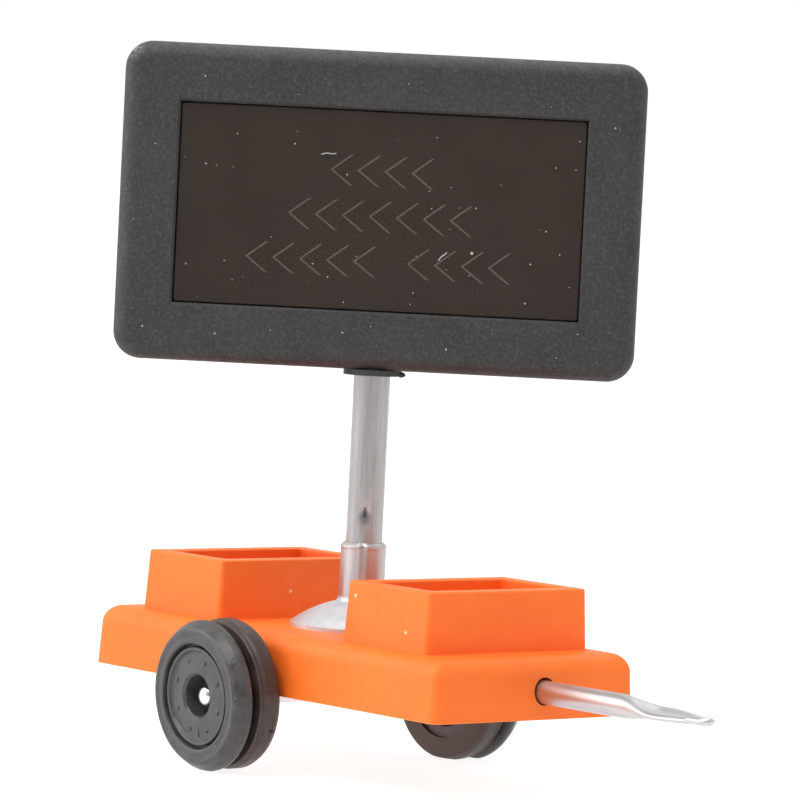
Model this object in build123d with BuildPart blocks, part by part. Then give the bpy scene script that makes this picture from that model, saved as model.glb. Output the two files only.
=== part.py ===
from build123d import *
import os
from math import cos, radians, sin, tan

# Miniature message-board trailer, in millimetres.
# +X points forward to the tongue, +Y to the trailer's left, +Z up.
# The origin is on the ground, under the middle of the overall length.

# ---------------------------------------------------------------- overall layout
DECK_FRONT_FROM_MAST = 23.65
DECK_REAR_FROM_MAST = 23.3
DECK_WIDTH = 22.5
DECK_HEIGHT = 5.25
TIP_FROM_MAST = 43.6
TYRE_R = 6.4
AXLE_BEHIND_MAST = 1.95
AXLE_BELOW_DECK_TOP = 5.72
DRAFT = 3.5
OVERLAP = 0.1
CUT_PAST = 1.0

DECK_LENGTH = DECK_FRONT_FROM_MAST + DECK_REAR_FROM_MAST
MAST_X = -(TIP_FROM_MAST - DECK_REAR_FROM_MAST) / 2
DECK_X = MAST_X + (DECK_FRONT_FROM_MAST - DECK_REAR_FROM_MAST) / 2
DECK_FRONT_X = MAST_X + DECK_FRONT_FROM_MAST
AXLE_X = MAST_X - AXLE_BEHIND_MAST
AXLE_Z = TYRE_R
DECK_TOP_Z = AXLE_Z + AXLE_BELOW_DECK_TOP
DECK_BOTTOM_Z = DECK_TOP_Z - DECK_HEIGHT
AXLE_PLANE = Plane(origin=(AXLE_X, 0, AXLE_Z), x_dir=(1, 0, 0), z_dir=(0, -1, 0))

# ---------------------------------------------------------------- deck
DECK_CORNER_R = 1.0
DECK_INNER_R = 0.4
DECK_TOP_R = 1.6
DECK_WALL = 1.2
DECK_TOP_T = 1.2
RIB_T = 1.0
RIB_DEPTH = 2.6
RIB_X = (-14.5, 10.5)
LUG_R = 2.2
LUG_T = 1.6
LUG_INSET = 0.35
LUG_TOP_Z = DECK_TOP_Z - 1.5
MAST_BOSS_R = 3.4

# ---------------------------------------------------------------- trays
TRAY_LENGTH = 10.7
TRAY_WIDTH = 17.5
TRAY_HEIGHT = 5.2
TRAY_WALL = 1.5
TRAY_FLOOR = 0.5
TRAY_EDGE_R = 0.35
RIM_R = 0.2
FRONT_TRAY_FROM_MAST = 8.7
REAR_TRAY_FROM_MAST = 8.5
PEG_R = 0.7
PEG_SPACING = 10.0
PEG_SHORT = 0.1
TRAY_CENTRES = {
    "front_tray": MAST_X + FRONT_TRAY_FROM_MAST + TRAY_LENGTH / 2,
    "rear_tray": MAST_X - REAR_TRAY_FROM_MAST - TRAY_LENGTH / 2,
}

# ---------------------------------------------------------------- telescoping mast
INCH = 25.4
TUBE_WALL = 0.014 * INCH
SLEEVE_R = 5 / 64 * INCH
MAST_R = 1 / 16 * INCH
SLEEVE_BOTTOM_Z = DECK_BOTTOM_Z + 1.1
SLEEVE_TOP_Z = DECK_TOP_Z + 7.55
SLEEVE_ROLL = 0.45
SLEEVE_LIP = 0.1
MAST_FOOT_Z = SLEEVE_BOTTOM_Z + 5.0
MAST_TOP_Z = 37.97
FLANGE_R = 6.1
FLANGE_RIM = 0.35
FLANGE_HEIGHT = 2.75
FLANGE_LIP_R = SLEEVE_R + 0.04
# radius and height of points up the flange, from its rim to its neck
FLANGE_FLARE = ((FLANGE_R, FLANGE_RIM), (4.3, 1.5), (2.55, 2.2))
FLANGE_NECK = ((2.55, 2.2), (2.2, 2.35), (FLANGE_LIP_R, FLANGE_HEIGHT))

# ---------------------------------------------------------------- drawbar
DRAWBAR_R = 1.0
DRAWBAR_Y = 0.9
DRAWBAR_Z = DECK_TOP_Z - 2.95
DRAWBAR_INSIDE = 7.5
DRAWBAR_BOSS_R = 1.9
DRAWBAR_BOSS_LENGTH = 6.6
ROUND_END_X = MAST_X + 33.8
TONGUE_START_X = MAST_X + 37.0
TONGUE_TIP_X = MAST_X + TIP_FROM_MAST
TONGUE_WIDTH = 2.9
TONGUE_TIP_WIDTH = 1.7
TONGUE_TIP_LENGTH = 0.8
TONGUE_T = 0.8
DRAWBAR_HOLE_R = 1.2
DRAWBAR_HOLE_RAISE = 0.07
DRAWBAR_HOLE_DEPTH = 2.2

# ---------------------------------------------------------------- wheels and axle
TRACK_OUTER = 16.1
WHEEL_WIDTH = 4.45
TYRE_WIDTH = 2.1
TYRE_SHOULDER = 0.85
TYRE_EDGE_R = 0.4
RIM_SEAT_R = 4.2
RIM_SEAT_INSET = 0.8
DISC_R = 3.95
DISC_INSET = 0.25
HUB_HOLE_R = 1.8
HUB_HOLE_DEPTH = 2.15
HUB_BACK_INSET = 0.2
HUB_BACK_DEPTH = 1.4
HUB_BACK_RIM = 0.7
HUB_BACK_CLEAR = 0.3
SPACER_R = 1.9
SPACER_H = 0.4
STUD_CIRCLE_R = 3.1
STUD_R = 0.25
STUD_H = 0.1
STUD_COUNT = 8
STUD_START = 25.0
AXLE_R = 1.0
AXLE_END_INSET = 0.5
AXLE_END_R = 0.45
AXLE_TUBE_R = 1.35

# ---------------------------------------------------------------- sign
SIGN_YAW = 49.0
SIGN_WIDTH = 45.2
SIGN_HEIGHT = 27.5
SIGN_DEPTH = 6.0
SIGN_CENTRE_Z = DECK_TOP_Z + 36.35
SIGN_CORNER_R = 2.4
FRONT_EDGE_R = 1.5
BACK_EDGE_R = 1.0
COVER_T = 1.2
FRONT_T = 1.3
SIDE_T = 1.5
WINDOW_WIDTH = 35.2
WINDOW_HEIGHT = 17.4
WINDOW_CHAMFER = 0.2
WINDOW_GAP = 0.1
PANE_FLANGE = 0.95
PANE_FLANGE_T = 0.6
PANE_RECESS = 0.4
MASK_T = 0.2
PANEL_T = 0.4
PAD_T = 0.6
BOARD_T = 0.6
SHEET_MARGIN = 0.4
PAD_SIZE = (32.0, 12.4)
BOARD_SIZE = (30.0, 12.0)
BOARD_RAISE = 0.6
BOARD_RIB_T = 1.0
CHIP_T = 0.8
# middle and size of each chip on the board
CHIPS = (
    (-7.0, 1.0, 5.0, 5.0),
    (5.0, 2.0, 4.0, 3.0),
    (-1.0, 3.0, 1.6, 0.9),
    (10.0, -2.0, 1.6, 0.9),
    (-11.5, 3.5, 1.6, 0.9),
)
POST_R = 0.95
POST_CENTRE = (19.9, 11.1)
SCREW_R = 0.5
SCREW_HEAD_R = 0.95
SCREW_LENGTH = 3.0
SCREW_END_GAP = 0.2
SCREW_SEAT_GAP = 0.02
SCREW_SHANK_GAP = 0.03
SCREW_CONE = 44
SLOT_WIDTH = 0.3
SLOT_DEPTH = 0.25
SOCKET_R = 2.525
SOCKET_DROP = 0.5
SOCKET_BLOCK_WIDTH = 6.4
SOCKET_TOP_Z = 38.67
BUSH_R = 2.05
RUNNING_GAP = 0.04

SIGN_PLANE = Plane(
    origin=(MAST_X, 0, SIGN_CENTRE_Z),
    x_dir=(cos(radians(SIGN_YAW)), sin(radians(SIGN_YAW)), 0),
    z_dir=(sin(radians(SIGN_YAW)), -cos(radians(SIGN_YAW)), 0),
)
SIGN_NORMAL = Axis(SIGN_PLANE.origin, SIGN_PLANE.z_dir)
SIGN_FRONT = SIGN_DEPTH / 2
SIGN_BACK = -SIGN_DEPTH / 2
COVER_FACE = SIGN_BACK + COVER_T
PANE_SEAT = SIGN_FRONT - FRONT_T
PANE_BACK = PANE_SEAT - PANE_FLANGE_T
MASK_BACK = PANE_BACK - MASK_T
PANEL_BACK = MASK_BACK - PANEL_T
PAD_BACK = PANEL_BACK - PAD_T
BOARD_BACK = PAD_BACK - BOARD_T
SIGN_BOTTOM_Z = SIGN_CENTRE_Z - SIGN_HEIGHT / 2
SOCKET_BOTTOM_Z = SIGN_BOTTOM_Z - SOCKET_DROP

# ---------------------------------------------------------------- display rows
GLYPH_WIDTH = 2.0
GLYPH_HEIGHT = 2.7
GLYPH_PITCH = 2.34
STROKE = 0.24
ROW_PITCH = 3.93
ROWS = ("####", "#######", "##### ####")
ROW_SHIFT = -0.5

# ---------------------------------------------------------------- leads
LEAD_R = 0.22
LEAD_SPACING = 0.9
LEAD_FOOT_Z = MAST_FOOT_Z + 0.6
LEAD_JOG_Z = SOCKET_TOP_Z + 0.3
LEAD_JOG_RISE = 1.6
LEAD_PAD_Z = SOCKET_TOP_Z + 4.6
LEAD_BEND_R = 0.9

os.makedirs("parts", exist_ok=True)


def save(part, name):
    """Label a finished piece and write it under its node name."""
    part.label = name
    export_step(part, f"parts/{name}.step")


# ================================================================ deck
with BuildPart() as deck:
    with BuildSketch(Plane.XY.offset(DECK_BOTTOM_Z)):
        with Locations((DECK_X, 0)):
            RectangleRounded(DECK_LENGTH, DECK_WIDTH, DECK_CORNER_R)
    extrude(amount=DECK_HEIGHT, taper=DRAFT)
    fillet(faces().sort_by(Axis.Z)[-1].edges(), radius=DECK_TOP_R)
    with BuildSketch(Plane.XY.offset(DECK_BOTTOM_Z)):
        with Locations((DECK_X, 0)):
            RectangleRounded(DECK_LENGTH - 2 * DECK_WALL, DECK_WIDTH - 2 * DECK_WALL, DECK_INNER_R)
    extrude(amount=DECK_HEIGHT - DECK_TOP_T, taper=DRAFT, mode=Mode.SUBTRACT)
    # boss round the mast sleeve, under the top plate
    with BuildSketch(Plane.XY.offset(SLEEVE_BOTTOM_Z)):
        with Locations((MAST_X, 0)):
            Circle(MAST_BOSS_R)
    extrude(amount=DECK_TOP_Z - DECK_TOP_T - SLEEVE_BOTTOM_Z + OVERLAP)
    # stiffening ribs across the deck
    with BuildSketch(Plane.XY.offset(DECK_TOP_Z - DECK_TOP_T - RIB_DEPTH)):
        with Locations(*[(MAST_X + x, 0) for x in RIB_X]):
            Rectangle(RIB_T, DECK_WIDTH - 2 * DECK_WALL)
    extrude(amount=RIB_DEPTH + OVERLAP)
    # boss that grips the drawbar behind the front wall
    with BuildSketch(Plane.YZ.offset(DECK_FRONT_X - DRAWBAR_INSIDE)):
        with Locations((DRAWBAR_Y, DRAWBAR_Z)):
            Circle(DRAWBAR_BOSS_R)
        with Locations((DRAWBAR_Y, (DRAWBAR_Z + DECK_TOP_Z - DECK_TOP_T) / 2)):
            Rectangle(2 * DRAWBAR_BOSS_R, DECK_TOP_Z - DECK_TOP_T - DRAWBAR_Z + OVERLAP)
    extrude(amount=DRAWBAR_BOSS_LENGTH)
    # lugs that carry the axle tube, one on each side
    for side in (-1, 1):
        with BuildSketch(AXLE_PLANE.offset(side * (DECK_WIDTH / 2 - LUG_INSET - LUG_T / 2) - LUG_T / 2)):
            Circle(LUG_R)
            with Locations((0, (LUG_TOP_Z - AXLE_Z) / 2)):
                Rectangle(2 * LUG_R, LUG_TOP_Z - AXLE_Z)
        extrude(amount=LUG_T)
    # bores: mast sleeve, axle tube, drawbar with its wider mouth, tray pegs
    with BuildSketch(Plane.XY.offset(DECK_BOTTOM_Z)):
        with Locations((MAST_X, 0)):
            Circle(SLEEVE_R)
    extrude(amount=DECK_HEIGHT + CUT_PAST, mode=Mode.SUBTRACT)
    with BuildSketch(AXLE_PLANE):
        Circle(AXLE_TUBE_R)
    extrude(amount=DECK_WIDTH, both=True, mode=Mode.SUBTRACT)
    with BuildSketch(Plane.YZ.offset(DECK_FRONT_X + CUT_PAST)):
        with Locations((DRAWBAR_Y, DRAWBAR_Z)):
            Circle(DRAWBAR_R)
    extrude(amount=-(DRAWBAR_INSIDE + 2 * CUT_PAST), mode=Mode.SUBTRACT)
    with BuildSketch(Plane.YZ.offset(DECK_FRONT_X + CUT_PAST)):
        with Locations((DRAWBAR_Y, DRAWBAR_Z + DRAWBAR_HOLE_RAISE)):
            Circle(DRAWBAR_HOLE_R)
    extrude(amount=-(DRAWBAR_HOLE_DEPTH + CUT_PAST), mode=Mode.SUBTRACT)
    with BuildSketch(Plane.XY.offset(DECK_TOP_Z)):
        for centre_x in TRAY_CENTRES.values():
            with Locations((centre_x, 0)):
                with GridLocations(1, PEG_SPACING, 1, 2):
                    Circle(PEG_R)
    extrude(amount=-DECK_TOP_T, mode=Mode.SUBTRACT)
save(deck.part, "deck")

# ================================================================ trays
for tray_name, centre_x in TRAY_CENTRES.items():
    spread = 2 * TRAY_HEIGHT * tan(radians(DRAFT))
    with BuildPart() as tray:
        with BuildSketch(Plane.XY.offset(DECK_TOP_Z)):
            with Locations((centre_x, 0)):
                RectangleRounded(TRAY_LENGTH + spread, TRAY_WIDTH + spread, TRAY_EDGE_R + spread / 2)
        extrude(amount=TRAY_HEIGHT, taper=DRAFT)
        with BuildSketch(Plane.XY.offset(DECK_TOP_Z + TRAY_HEIGHT)):
            with Locations((centre_x, 0)):
                RectangleRounded(TRAY_LENGTH - 2 * TRAY_WALL, TRAY_WIDTH - 2 * TRAY_WALL, TRAY_EDGE_R)
        extrude(amount=-(TRAY_HEIGHT - TRAY_FLOOR), taper=DRAFT / 4, mode=Mode.SUBTRACT)
        fillet(faces().sort_by(Axis.Z)[-1].edges(), radius=RIM_R)
        with BuildSketch(Plane.XY.offset(DECK_TOP_Z)):
            with Locations((centre_x, 0)):
                with GridLocations(1, PEG_SPACING, 1, 2):
                    Circle(PEG_R)
        extrude(amount=-DECK_TOP_T + PEG_SHORT)
    save(tray.part, tray_name)

# ================================================================ mast
with BuildPart() as mast_sleeve:
    with BuildSketch(Plane.XY.offset(SLEEVE_BOTTOM_Z)):
        with Locations((MAST_X, 0)):
            Circle(SLEEVE_R)
            Circle(SLEEVE_R - TUBE_WALL, mode=Mode.SUBTRACT)
    extrude(amount=SLEEVE_TOP_Z - SLEEVE_BOTTOM_Z)
    top_outer = edges().filter_by(GeomType.CIRCLE).group_by(Axis.Z)[-1].sort_by(SortBy.RADIUS)[-1]
    chamfer(top_outer, length=SLEEVE_ROLL, length2=TUBE_WALL - SLEEVE_LIP)
save(mast_sleeve.part, "mast_sleeve")

with BuildPart() as mast_flange:
    with BuildSketch(Plane(origin=(MAST_X, 0, DECK_TOP_Z), x_dir=(1, 0, 0), z_dir=(0, -1, 0))):
        with BuildLine():
            Polyline((SLEEVE_R, 0), (FLANGE_R, 0), (FLANGE_R, FLANGE_RIM))
            ThreePointArc(*FLANGE_FLARE)
            ThreePointArc(*FLANGE_NECK)
            Polyline((FLANGE_LIP_R, FLANGE_HEIGHT), (SLEEVE_R, FLANGE_HEIGHT), (SLEEVE_R, 0))
        make_face()
    revolve(axis=Axis((MAST_X, 0, 0), (0, 0, 1)))
save(mast_flange.part, "mast_flange")

with BuildPart() as mast_tube:
    with BuildSketch(Plane.XY.offset(MAST_FOOT_Z)):
        with Locations((MAST_X, 0)):
            Circle(MAST_R)
            Circle(MAST_R - TUBE_WALL, mode=Mode.SUBTRACT)
    extrude(amount=MAST_TOP_Z - MAST_FOOT_Z)
save(mast_tube.part, "mast_tube")

# ================================================================ drawbar
with BuildPart() as drawbar:
    with BuildSketch(Plane.YZ.offset(DECK_FRONT_X - DRAWBAR_INSIDE)):
        with Locations((DRAWBAR_Y, DRAWBAR_Z)):
            Circle(DRAWBAR_R)
    extrude(amount=ROUND_END_X - DECK_FRONT_X + DRAWBAR_INSIDE)
    # the squashed stretch between the round tube and the flat tongue
    with BuildSketch(Plane.YZ.offset(ROUND_END_X)):
        with Locations((DRAWBAR_Y, DRAWBAR_Z)):
            Circle(DRAWBAR_R)
    with BuildSketch(Plane.YZ.offset(TONGUE_START_X)):
        with Locations((DRAWBAR_Y, DRAWBAR_Z)):
            Ellipse(TONGUE_WIDTH / 2, TONGUE_T / 2)
    loft()
    # flat tongue, narrowing to a rounded tip
    root_left = (TONGUE_START_X, DRAWBAR_Y + TONGUE_WIDTH / 2)
    root_right = (TONGUE_START_X, DRAWBAR_Y - TONGUE_WIDTH / 2)
    tip_left = (TONGUE_TIP_X - TONGUE_TIP_LENGTH, DRAWBAR_Y + TONGUE_TIP_WIDTH / 2)
    tip_right = (TONGUE_TIP_X - TONGUE_TIP_LENGTH, DRAWBAR_Y - TONGUE_TIP_WIDTH / 2)
    with BuildSketch(Plane.XY.offset(DRAWBAR_Z - TONGUE_T / 2)):
        with BuildLine():
            Polyline(tip_right, root_right, root_left, tip_left)
            ThreePointArc(tip_left, (TONGUE_TIP_X, DRAWBAR_Y), tip_right)
        make_face()
    extrude(amount=TONGUE_T)
save(drawbar.part, "drawbar")

# ================================================================ axle and wheels
with BuildPart() as axle_tube:
    with BuildSketch(AXLE_PLANE):
        Circle(AXLE_TUBE_R)
        Circle(AXLE_R + RUNNING_GAP, mode=Mode.SUBTRACT)
    extrude(amount=DECK_WIDTH / 2, both=True)
save(axle_tube.part, "axle_tube")

with BuildPart() as axle:
    with BuildSketch(AXLE_PLANE):
        Circle(AXLE_R)
    extrude(amount=TRACK_OUTER - AXLE_END_INSET, both=True)
    fillet(edges().filter_by(GeomType.CIRCLE), radius=AXLE_END_R)
save(axle.part, "axle")

for side_name, side in (("right", -1), ("left", 1)):
    outer_plane = Plane(origin=(AXLE_X, side * TRACK_OUTER, AXLE_Z), x_dir=(1, 0, 0), z_dir=(0, side, 0))
    axle_outward = Axis((AXLE_X, 0, AXLE_Z), (0, side, 0))

    # hub: dished disc with a wide blind hole, a rim seat for both tyres, and a spacer boss behind
    with BuildPart() as hub:
        with BuildSketch(outer_plane.offset(-WHEEL_WIDTH + HUB_BACK_INSET)):
            Circle(RIM_SEAT_R)
        extrude(amount=WHEEL_WIDTH - HUB_BACK_INSET - RIM_SEAT_INSET)
        with BuildSketch(outer_plane.offset(-RIM_SEAT_INSET)):
            Circle(DISC_R)
        extrude(amount=RIM_SEAT_INSET - DISC_INSET)
        with BuildSketch(outer_plane.offset(-WHEEL_WIDTH - SPACER_H + HUB_BACK_INSET)):
            Circle(SPACER_R)
        extrude(amount=SPACER_H)
        # hollow back
        with BuildSketch(outer_plane.offset(-WHEEL_WIDTH + HUB_BACK_INSET)):
            Circle(RIM_SEAT_R - HUB_BACK_RIM)
            Circle(SPACER_R + HUB_BACK_CLEAR, mode=Mode.SUBTRACT)
        extrude(amount=HUB_BACK_DEPTH, mode=Mode.SUBTRACT)
        with BuildSketch(outer_plane.offset(-DISC_INSET)):
            with PolarLocations(STUD_CIRCLE_R, STUD_COUNT, start_angle=STUD_START):
                Circle(STUD_R)
        extrude(amount=STUD_H)
        with BuildSketch(outer_plane):
            Circle(HUB_HOLE_R)
        extrude(amount=-DISC_INSET - HUB_HOLE_DEPTH, mode=Mode.SUBTRACT)
        with BuildSketch(outer_plane):
            Circle(AXLE_R)
        extrude(amount=-WHEEL_WIDTH - SPACER_H, mode=Mode.SUBTRACT)
    save(hub.part, f"wheel_hub_{side_name}")

    tyre_faces = {"outer": 0.0, "inner": WHEEL_WIDTH - TYRE_WIDTH}
    for tyre_name, inset in tyre_faces.items():
        with BuildPart() as tyre:
            with BuildSketch(outer_plane.offset(-inset - TYRE_WIDTH)):
                Circle(TYRE_R)
                Circle(RIM_SEAT_R, mode=Mode.SUBTRACT)
            extrude(amount=TYRE_WIDTH)
            tread_edges = edges().filter_by(GeomType.CIRCLE).group_by(SortBy.RADIUS)[-1].sort_by(axle_outward)
            if tyre_name == "outer":
                chamfer(tread_edges[-1], length=TYRE_SHOULDER)
                fillet(tread_edges[0], radius=TYRE_EDGE_R)
            else:
                fillet(tread_edges, radius=TYRE_EDGE_R)
        save(tyre.part, f"{tyre_name}_tyre_{side_name}")

# ================================================================ sign casing
with BuildPart() as sign_bezel:
    with BuildSketch(SIGN_PLANE.offset(COVER_FACE)):
        RectangleRounded(SIGN_WIDTH, SIGN_HEIGHT, SIGN_CORNER_R)
    extrude(amount=SIGN_FRONT - COVER_FACE)
    fillet(faces().sort_by(SIGN_NORMAL)[-1].edges(), radius=FRONT_EDGE_R)
    with BuildSketch(SIGN_PLANE.offset(COVER_FACE)):
        RectangleRounded(SIGN_WIDTH - 2 * SIDE_T, SIGN_HEIGHT - 2 * SIDE_T, SIGN_CORNER_R - SIDE_T)
    extrude(amount=PANE_SEAT - COVER_FACE, mode=Mode.SUBTRACT)
    # window opening with a small bevel
    with BuildSketch(SIGN_PLANE.offset(SIGN_FRONT)):
        Rectangle(WINDOW_WIDTH, WINDOW_HEIGHT)
    extrude(amount=-FRONT_T, mode=Mode.SUBTRACT)
    with BuildSketch(SIGN_PLANE.offset(SIGN_FRONT)):
        Rectangle(WINDOW_WIDTH + 2 * WINDOW_CHAMFER, WINDOW_HEIGHT + 2 * WINDOW_CHAMFER)
    with BuildSketch(SIGN_PLANE.offset(SIGN_FRONT - WINDOW_CHAMFER)):
        Rectangle(WINDOW_WIDTH, WINDOW_HEIGHT)
    loft(mode=Mode.SUBTRACT)
    # screw posts in the corners
    with BuildSketch(SIGN_PLANE.offset(COVER_FACE)):
        with GridLocations(2 * POST_CENTRE[0], 2 * POST_CENTRE[1], 2, 2):
            Circle(POST_R)
    extrude(amount=PANE_SEAT - COVER_FACE)
    with BuildSketch(SIGN_PLANE.offset(COVER_FACE)):
        with GridLocations(2 * POST_CENTRE[0], 2 * POST_CENTRE[1], 2, 2):
            Circle(SCREW_R)
    extrude(amount=SCREW_LENGTH - COVER_T + SCREW_END_GAP, mode=Mode.SUBTRACT)
    # block and round boss that hold the swivel bush
    block_height = SOCKET_TOP_Z - SIGN_BOTTOM_Z
    with BuildSketch(SIGN_PLANE.offset(COVER_FACE)):
        with Locations((0, (block_height - SIGN_HEIGHT) / 2)):
            Rectangle(SOCKET_BLOCK_WIDTH, block_height)
    extrude(amount=PANE_SEAT - COVER_FACE)
    with BuildSketch(Plane.XY.offset(SOCKET_BOTTOM_Z)):
        with Locations((MAST_X, 0)):
            Circle(SOCKET_R)
    extrude(amount=SOCKET_DROP)
    with BuildSketch(Plane.XY.offset(SOCKET_BOTTOM_Z)):
        with Locations((MAST_X, 0)):
            Circle(BUSH_R)
    extrude(amount=SOCKET_TOP_Z - SOCKET_BOTTOM_Z, mode=Mode.SUBTRACT)
save(sign_bezel.part, "sign_bezel")

with BuildPart() as back_cover:
    with BuildSketch(SIGN_PLANE.offset(SIGN_BACK)):
        RectangleRounded(SIGN_WIDTH, SIGN_HEIGHT, SIGN_CORNER_R)
    extrude(amount=COVER_T)
    fillet(faces().sort_by(SIGN_NORMAL)[0].edges(), radius=BACK_EDGE_R)
    # two ribs press the circuit board forwards
    with BuildSketch(SIGN_PLANE.offset(COVER_FACE)):
        with Locations((0, BOARD_RAISE)):
            with GridLocations(BOARD_SIZE[0] - 2 * BOARD_RIB_T, 1, 2, 1):
                Rectangle(BOARD_RIB_T, BOARD_SIZE[1] - 2 * BOARD_RIB_T)
    extrude(amount=BOARD_BACK - COVER_FACE)
    # clearance for the back of the swivel bush
    with BuildSketch(Plane.XY.offset(SIGN_BOTTOM_Z - CUT_PAST)):
        with Locations((MAST_X, 0)):
            Circle(BUSH_R)
    extrude(amount=SOCKET_TOP_Z - SIGN_BOTTOM_Z + CUT_PAST, mode=Mode.SUBTRACT)
    with Locations(SIGN_PLANE.offset(SIGN_BACK) * Location((0, 0, 0), (0, 180, 0))):
        with GridLocations(2 * POST_CENTRE[0], 2 * POST_CENTRE[1], 2, 2):
            CounterSinkHole(SCREW_R, counter_sink_radius=SCREW_HEAD_R, depth=COVER_T + OVERLAP)
save(back_cover.part, "back_cover")

with BuildPart() as back_cover_screws:
    with BuildSketch(SIGN_PLANE.offset(SIGN_BACK)):
        with GridLocations(2 * POST_CENTRE[0], 2 * POST_CENTRE[1], 2, 2):
            Circle(SCREW_HEAD_R - SCREW_SEAT_GAP)
    extrude(amount=SCREW_HEAD_R - SCREW_R, taper=SCREW_CONE)
    with BuildSketch(SIGN_PLANE.offset(SIGN_BACK + OVERLAP)):
        with GridLocations(2 * POST_CENTRE[0], 2 * POST_CENTRE[1], 2, 2):
            Circle(SCREW_R - SCREW_SHANK_GAP)
    extrude(amount=SCREW_LENGTH - OVERLAP)
    with BuildSketch(SIGN_PLANE.offset(SIGN_BACK)):
        with GridLocations(2 * POST_CENTRE[0], 2 * POST_CENTRE[1], 2, 2):
            Rectangle(2 * SCREW_HEAD_R, SLOT_WIDTH)
    extrude(amount=SLOT_DEPTH, mode=Mode.SUBTRACT)
save(back_cover_screws.part, "back_cover_screws")

# ================================================================ swivel bush
with BuildPart() as swivel_bush:
    with BuildSketch(Plane.XY.offset(SOCKET_BOTTOM_Z)):
        with Locations((MAST_X, 0)):
            Circle(BUSH_R)
    extrude(amount=SOCKET_TOP_Z - SOCKET_BOTTOM_Z)
    with BuildSketch(Plane.XY.offset(SOCKET_BOTTOM_Z)):
        with Locations((MAST_X, 0)):
            Circle(MAST_R + RUNNING_GAP)
    extrude(amount=MAST_TOP_Z + RUNNING_GAP - SOCKET_BOTTOM_Z, mode=Mode.SUBTRACT)
    with BuildSketch(Plane.XY.offset(SOCKET_BOTTOM_Z)):
        with Locations((MAST_X, 0)):
            Circle(MAST_R - TUBE_WALL)
    extrude(amount=SOCKET_TOP_Z - SOCKET_BOTTOM_Z, mode=Mode.SUBTRACT)
save(swivel_bush.part, "swivel_bush")

# ================================================================ display stack, front to back
with BuildPart() as display_window:
    with BuildSketch(SIGN_PLANE.offset(PANE_BACK)):
        Rectangle(WINDOW_WIDTH + 2 * PANE_FLANGE, WINDOW_HEIGHT + 2 * PANE_FLANGE)
    extrude(amount=PANE_FLANGE_T)
    with BuildSketch(SIGN_PLANE.offset(PANE_SEAT)):
        Rectangle(WINDOW_WIDTH - 2 * WINDOW_GAP, WINDOW_HEIGHT - 2 * WINDOW_GAP)
    extrude(amount=FRONT_T - PANE_RECESS)
save(display_window.part, "display_window")

CHEVRON = [
    (GLYPH_WIDTH / 2, GLYPH_HEIGHT / 2),
    (GLYPH_WIDTH / 2 - STROKE, GLYPH_HEIGHT / 2),
    (-GLYPH_WIDTH / 2, 0),
    (GLYPH_WIDTH / 2 - STROKE, -GLYPH_HEIGHT / 2),
    (GLYPH_WIDTH / 2, -GLYPH_HEIGHT / 2),
    (-GLYPH_WIDTH / 2 + STROKE, 0),
]
glyph_places = []
for row, text in enumerate(ROWS):
    for column, mark in enumerate(text):
        if mark == "#":
            glyph_places.append(
                ((column - (len(text) - 1) / 2) * GLYPH_PITCH, (1 - row) * ROW_PITCH + ROW_SHIFT)
            )

with BuildPart() as pixel_mask:
    with BuildSketch(SIGN_PLANE.offset(MASK_BACK)):
        Rectangle(WINDOW_WIDTH + 2 * SHEET_MARGIN, WINDOW_HEIGHT + 2 * SHEET_MARGIN)
        with Locations(*glyph_places):
            Polygon(*CHEVRON, align=None, mode=Mode.SUBTRACT)
    extrude(amount=MASK_T)
save(pixel_mask.part, "pixel_mask")

with BuildPart() as light_panel:
    with BuildSketch(SIGN_PLANE.offset(PANEL_BACK)):
        Rectangle(WINDOW_WIDTH + 2 * SHEET_MARGIN, WINDOW_HEIGHT + 2 * SHEET_MARGIN)
    extrude(amount=PANEL_T)
save(light_panel.part, "light_panel")

with BuildPart() as panel_pad:
    with BuildSketch(SIGN_PLANE.offset(PAD_BACK)):
        with Locations((0, BOARD_RAISE)):
            Rectangle(*PAD_SIZE)
    extrude(amount=PAD_T)
save(panel_pad.part, "panel_pad")

with BuildPart() as driver_board:
    with BuildSketch(SIGN_PLANE.offset(BOARD_BACK)):
        with Locations((0, BOARD_RAISE)):
            Rectangle(*BOARD_SIZE)
    extrude(amount=BOARD_T)
save(driver_board.part, "driver_board")

with BuildPart() as board_chips:
    with BuildSketch(SIGN_PLANE.offset(BOARD_BACK)):
        for chip_x, chip_y, chip_width, chip_height in CHIPS:
            with Locations((chip_x, BOARD_RAISE + chip_y)):
                Rectangle(chip_width, chip_height)
    extrude(amount=-CHIP_T)
save(board_chips.part, "board_chips")

# ================================================================ leads
with BuildPart() as lead_pair:
    board_level = BOARD_BACK - LEAD_R
    for offset in (-LEAD_SPACING / 2, LEAD_SPACING / 2):
        route = [
            SIGN_PLANE.from_local_coords(Vector(offset, z - SIGN_CENTRE_Z, depth))
            for z, depth in (
                (LEAD_FOOT_Z, 0),
                (LEAD_JOG_Z, 0),
                (LEAD_JOG_Z + LEAD_JOG_RISE, board_level),
                (LEAD_PAD_Z, board_level),
            )
        ]
        with BuildLine() as path:
            FilletPolyline(*route, radius=LEAD_BEND_R)
        with BuildSketch(Plane(origin=route[0], z_dir=(0, 0, 1))):
            Circle(LEAD_R)
        sweep(path=path.line)
save(lead_pair.part, "lead_pair")
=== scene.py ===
import math
import random

import bmesh
import bpy
from mathutils import Matrix, Vector


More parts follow.
